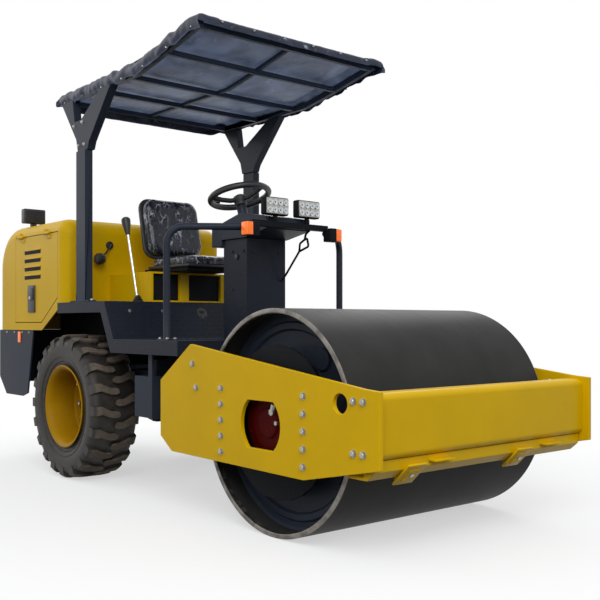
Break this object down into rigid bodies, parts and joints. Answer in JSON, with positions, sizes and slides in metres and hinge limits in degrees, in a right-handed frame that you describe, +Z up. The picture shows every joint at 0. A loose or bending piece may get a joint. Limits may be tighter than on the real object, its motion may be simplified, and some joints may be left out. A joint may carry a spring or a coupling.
{
  "type": "single-drum road roller",
  "caption": "Articulated ride-on road roller with a smooth steel drum in front, lugged rear tyres, engine hood and fabric canopy.",
  "frame": {"origin": "on the ground under the middle of the machine's length and width", "axes": "+X forward towards the drum, +Y to the machine's left, +Z up"},
  "size_m": [3.86, 1.42, 2.4443],
  "materials": {
    "yellow_paint": "gloss sprayed enamel",
    "charcoal_paint": "satin sprayed enamel",
    "black_paint": "satin enamel",
    "drum_steel": "dark rolled and ground steel",
    "bright_steel": "hard chrome and zinc",
    "tyre_rubber": "moulded rubber",
    "seat_vinyl": "black vinyl under thin clear film",
    "tarp_fabric": "glossy coated tarpaulin",
    "black_plastic": "moulded",
    "lamp_lens": "clear moulded lens over reflectors"
  },
  "bodies": {
    "tractor_frame": {"chassis": "charcoal_paint", "rear_axle": "black_paint", "engine_block": "black_paint", "platform": "charcoal_paint", "platform_bearer_rear": "black_paint", "platform_bearer_front": "black_paint", "step_box_right": "charcoal_paint", "step_box_left": "charcoal_paint", "hood": "yellow_paint", "rear_skirt": "charcoal_paint", "seat_box": "yellow_paint", "seat_frame": "black_paint", "seat_cushion": "seat_vinyl", "seat_back": "seat_vinyl", "console": "charcoal_paint", "dash": "charcoal_paint", "lamp_bar": "black_paint", "work_lamp_right": "lamp_lens", "work_lamp_left": "lamp_lens", "rear_lamp": "black_plastic", "handrail_right": "charcoal_paint", "handrail_left": "charcoal_paint", "canopy_post_right": "charcoal_paint", "canopy_post_left": "charcoal_paint", "canopy_fork_right": "charcoal_paint", "canopy_fork_left": "charcoal_paint", "canopy_frame": "charcoal_paint", "canopy_cover": "tarp_fabric", "travel_lever": "black_paint", "throttle_lever": "black_plastic"},
    "steering_knuckle": {"centre_knuckle": "charcoal_paint"},
    "drum_frame": {"side_plate_right": "yellow_paint", "side_plate_left": "yellow_paint", "front_beam": "yellow_paint", "rear_yoke": "yellow_paint", "drum_carrier_right": "black_paint", "drum_carrier_left": "black_paint", "front_scraper": "yellow_paint", "rear_scraper": "charcoal_paint"},
    "drum": {"drum": "drum_steel"},
    "wheel_right": {"rim_right": "yellow_paint", "tyre_right": "tyre_rubber"},
    "wheel_left": {"rim_left": "yellow_paint", "tyre_left": "tyre_rubber"},
    "steering_wheel": {"steering_wheel": "black_plastic"},
    "hood_door_right": {"hood_door_right": "yellow_paint"},
    "hood_door_left": {"hood_door_left": "yellow_paint"},
    "steering_barrel_right": {"steering_barrel_right": "black_paint"},
    "steering_rod_right": {"steering_rod_right": "bright_steel"},
    "steering_barrel_left": {"steering_barrel_left": "black_paint"},
    "steering_rod_left": {"steering_rod_left": "bright_steel"}
  },
  "joints": [
    {"name": "articulation", "type": "hinge", "parent": "tractor_frame", "child": "steering_knuckle", "pos_m": [0.247, 0, 0.54], "axis": [0, 0, 1], "range_deg": [-28, 28]},
    {"name": "frame_roll", "type": "hinge", "parent": "steering_knuckle", "child": "drum_frame", "pos_m": [0.418, 0, 0.54], "axis": [1, 0, 0], "range_deg": [-6, 6]},
    {"name": "drum_spin", "type": "hinge", "parent": "drum_frame", "child": "drum", "pos_m": [1.218, 0, 0.5], "axis": [0, 1, 0], "continuous": true},
    {"name": "wheel_right_spin", "type": "hinge", "parent": "tractor_frame", "child": "wheel_right", "pos_m": [-0.724, -0.5, 0.433], "axis": [0, 1, 0], "continuous": true},
    {"name": "wheel_left_spin", "type": "hinge", "parent": "tractor_frame", "child": "wheel_left", "pos_m": [-0.724, 0.5, 0.433], "axis": [0, 1, 0], "continuous": true},
    {"name": "steering_wheel_turn", "type": "hinge", "parent": "tractor_frame", "child": "steering_wheel", "pos_m": [0.133, 0, 1.655], "axis": [-0.2756, 0, 0.9613], "continuous": true},
    {"name": "hood_door_right_lift", "type": "hinge", "parent": "tractor_frame", "child": "hood_door_right", "pos_m": [-1.307, -0.6093, 1.5125], "axis": [-1, 0, 0], "range_deg": [0, 80]},
    {"name": "hood_door_left_lift", "type": "hinge", "parent": "tractor_frame", "child": "hood_door_left", "pos_m": [-1.307, 0.6093, 1.5125], "axis": [1, 0, 0], "range_deg": [0, 80]},
    {"name": "steering_barrel_right_swing", "type": "hinge", "parent": "tractor_frame", "child": "steering_barrel_right", "pos_m": [-0.153, -0.235, 0.54], "axis": [0, 0, 1], "range_deg": [-4, 4]},
    {"name": "steering_rod_right_slide", "type": "slide", "parent": "steering_barrel_right", "child": "steering_rod_right", "axis": [1, 0, 0], "range_m": [-0.114, 0.114]},
    {"name": "steering_barrel_left_swing", "type": "hinge", "parent": "tractor_frame", "child": "steering_barrel_left", "pos_m": [-0.153, 0.235, 0.54], "axis": [0, 0, 1], "range_deg": [-4, 4]},
    {"name": "steering_rod_left_slide", "type": "slide", "parent": "steering_barrel_left", "child": "steering_rod_left", "axis": [1, 0, 0], "range_m": [-0.114, 0.114]}
  ],
  "couplings": [
    {"joint": "steering_barrel_right_swing", "follows": "articulation", "ratio": 0.14},
    {"joint": "steering_rod_right_slide", "follows": "articulation", "m_per_rad": 0.23},
    {"joint": "steering_barrel_left_swing", "follows": "articulation", "ratio": 0.14},
    {"joint": "steering_rod_left_slide", "follows": "articulation", "m_per_rad": -0.23}
  ]
}
